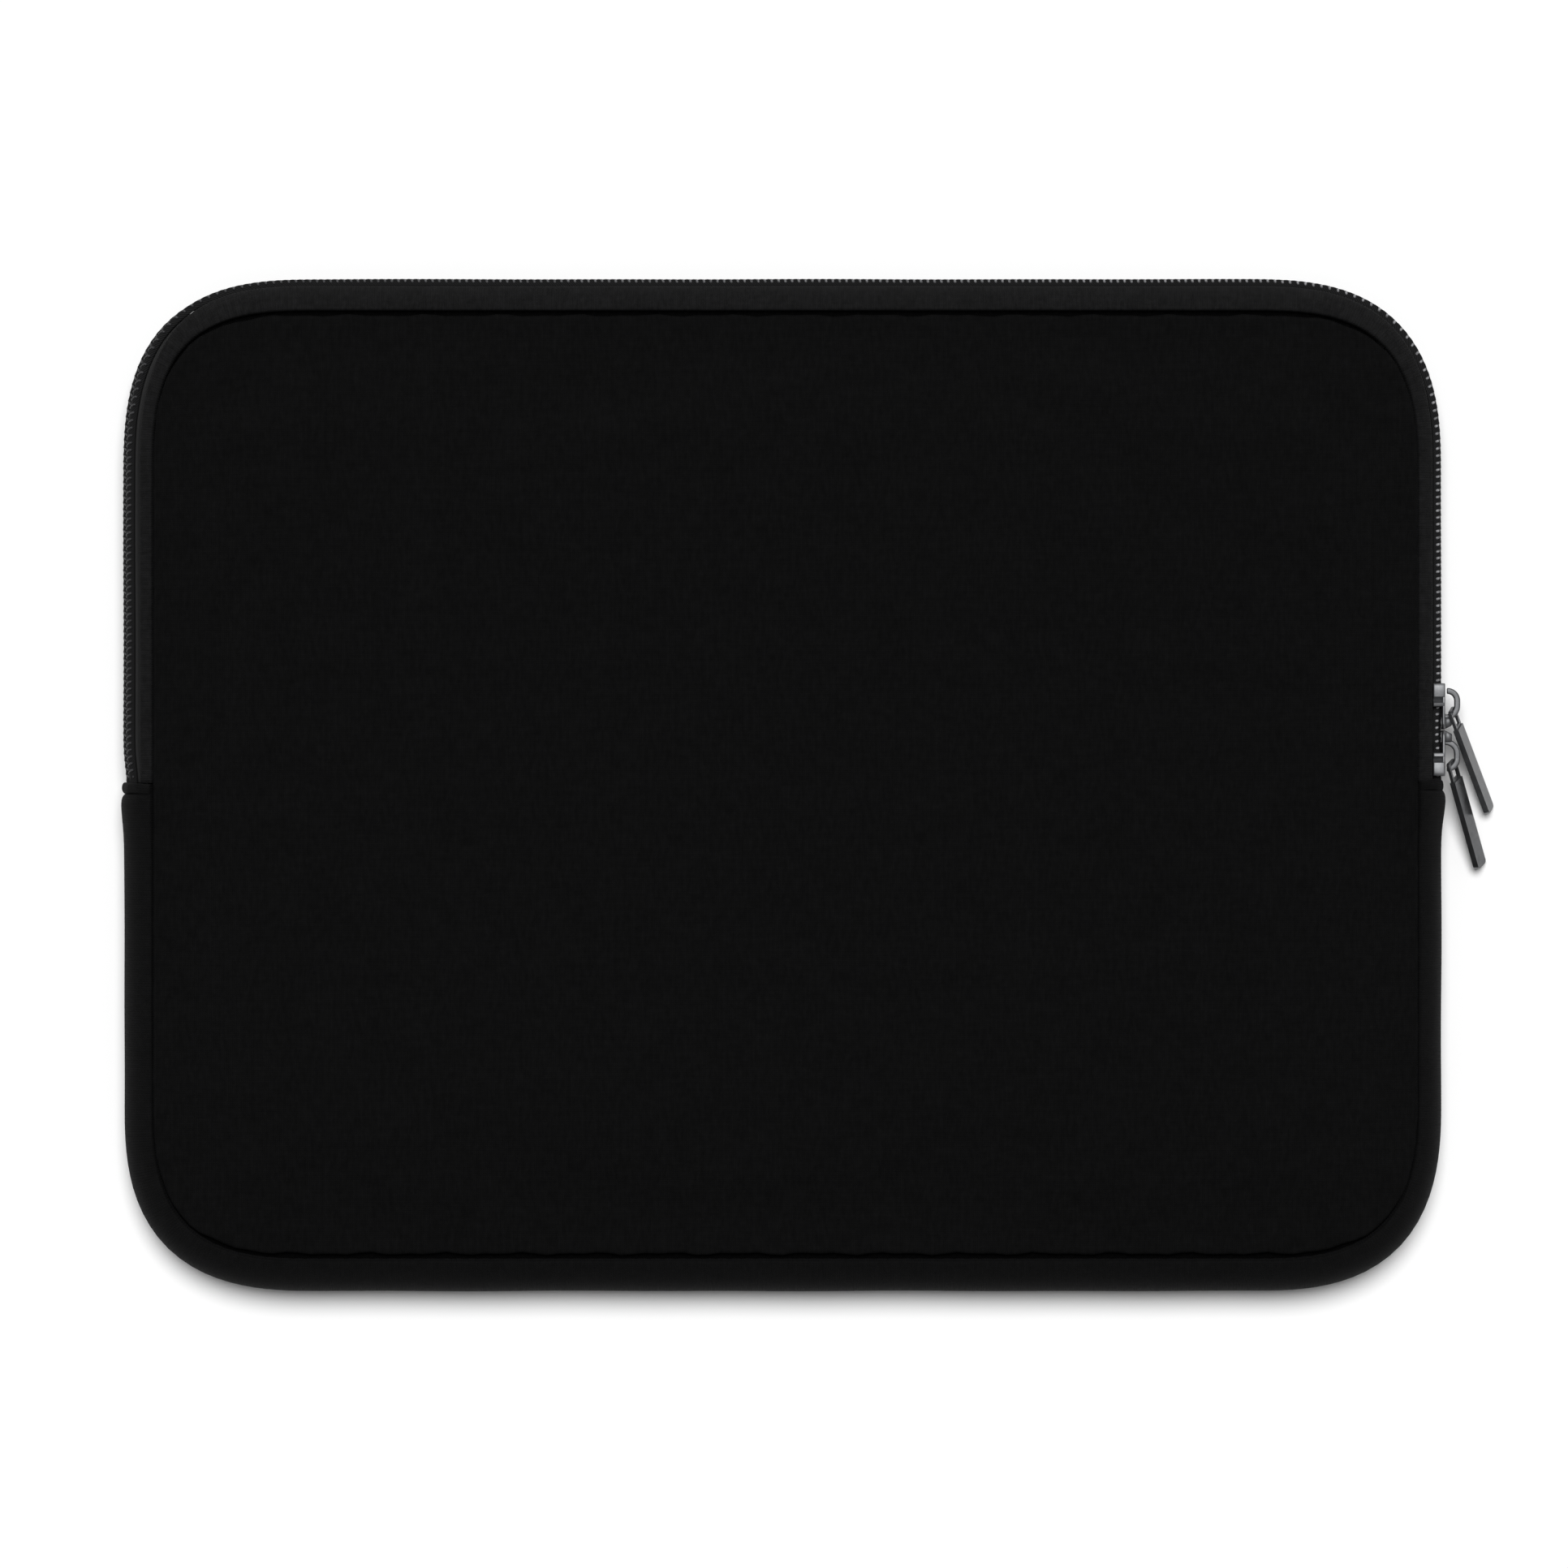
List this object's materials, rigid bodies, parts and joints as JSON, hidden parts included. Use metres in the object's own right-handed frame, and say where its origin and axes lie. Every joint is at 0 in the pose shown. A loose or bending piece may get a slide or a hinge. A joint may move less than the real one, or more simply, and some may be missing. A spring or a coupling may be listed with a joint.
{
  "type": "laptop sleeve",
  "caption": "Flat padded neoprene laptop sleeve with rounded corners, a soft lining, and a coil zip round its upper edge with parked sliders and bar pulls.",
  "frame": {"origin": "centre of the back panel's outside face, which the sleeve lies on", "axes": "+X to the side with the parked sliders, +Y to the zipped mouth, +Z out of the front panel"},
  "size_m": [0.3548, 0.2609, 0.022],
  "materials": {
    "panel_neoprene": "matte black knit faced neoprene",
    "edge_neoprene": "matte black knit faced neoprene, stretched round the edge",
    "lining_fleece": "short napped black fleece",
    "zip_tape": "woven black polyester tape",
    "zip_coil": "black nylon coil, satin gloss",
    "seam_thread": "black polyester thread",
    "gunmetal": "polished gunmetal plating"
  },
  "bodies": {
    "shell": {"back_panel": "panel_neoprene", "back_lining": "lining_fleece", "front_panel_lower": "panel_neoprene", "front_lining_lower": "lining_fleece", "gusset": "edge_neoprene", "gusset_lining": "lining_fleece", "back_zip_strip": "edge_neoprene", "back_zip_tape": "zip_tape", "back_zip_coil": "zip_coil", "front_strip_end_right": "edge_neoprene", "front_tape_end_right": "zip_tape", "front_coil_end_right": "zip_coil", "end_tab_right": "edge_neoprene", "front_strip_end_left": "edge_neoprene", "front_tape_end_left": "zip_tape", "front_coil_end_left": "zip_coil", "end_tab_left": "edge_neoprene", "front_seam_thread_lower": "seam_thread", "back_seam_thread": "seam_thread"},
    "flap": {"front_panel_upper": "panel_neoprene", "front_lining_upper": "lining_fleece", "front_zip_strip": "edge_neoprene", "front_zip_tape": "zip_tape", "front_zip_coil": "zip_coil", "front_seam_thread_upper": "seam_thread"},
    "upper_slider_body": {"upper_slider": "gunmetal", "upper_crown": "gunmetal"},
    "upper_pull_body": {"upper_pull": "gunmetal"},
    "lower_slider_body": {"lower_slider": "gunmetal", "lower_crown": "gunmetal"},
    "lower_pull_body": {"lower_pull": "gunmetal"}
  },
  "joints": [
    {"name": "mouth_fold", "type": "hinge", "parent": "shell", "child": "flap", "pos_m": [0, 0.042, 0.022], "axis": [1, 0, 0], "range_deg": [0, 60]},
    {"name": "upper_slider_slide", "type": "slide", "parent": "shell", "child": "upper_slider_body", "axis": [0, 1, 0], "range_m": [0, 0.065]},
    {"name": "lower_slider_slide", "type": "slide", "parent": "shell", "child": "lower_slider_body", "axis": [0, 1, 0], "range_m": [-0.0008, 0]},
    {"name": "upper_pull_swing", "type": "hinge", "parent": "upper_slider_body", "child": "upper_pull_body", "pos_m": [0.1727, 0.0193, 0.011], "axis": [0, 0, 1], "range_deg": [0, 110]},
    {"name": "lower_pull_swing", "type": "hinge", "parent": "lower_slider_body", "child": "lower_pull_body", "pos_m": [0.17255, 0.0059, 0.011], "axis": [0, 0, 1], "range_deg": [0, 110]}
  ],
  "couplings": [
    {"joint": "lower_pull_swing", "follows": "upper_pull_swing", "ratio": 1}
  ]
}
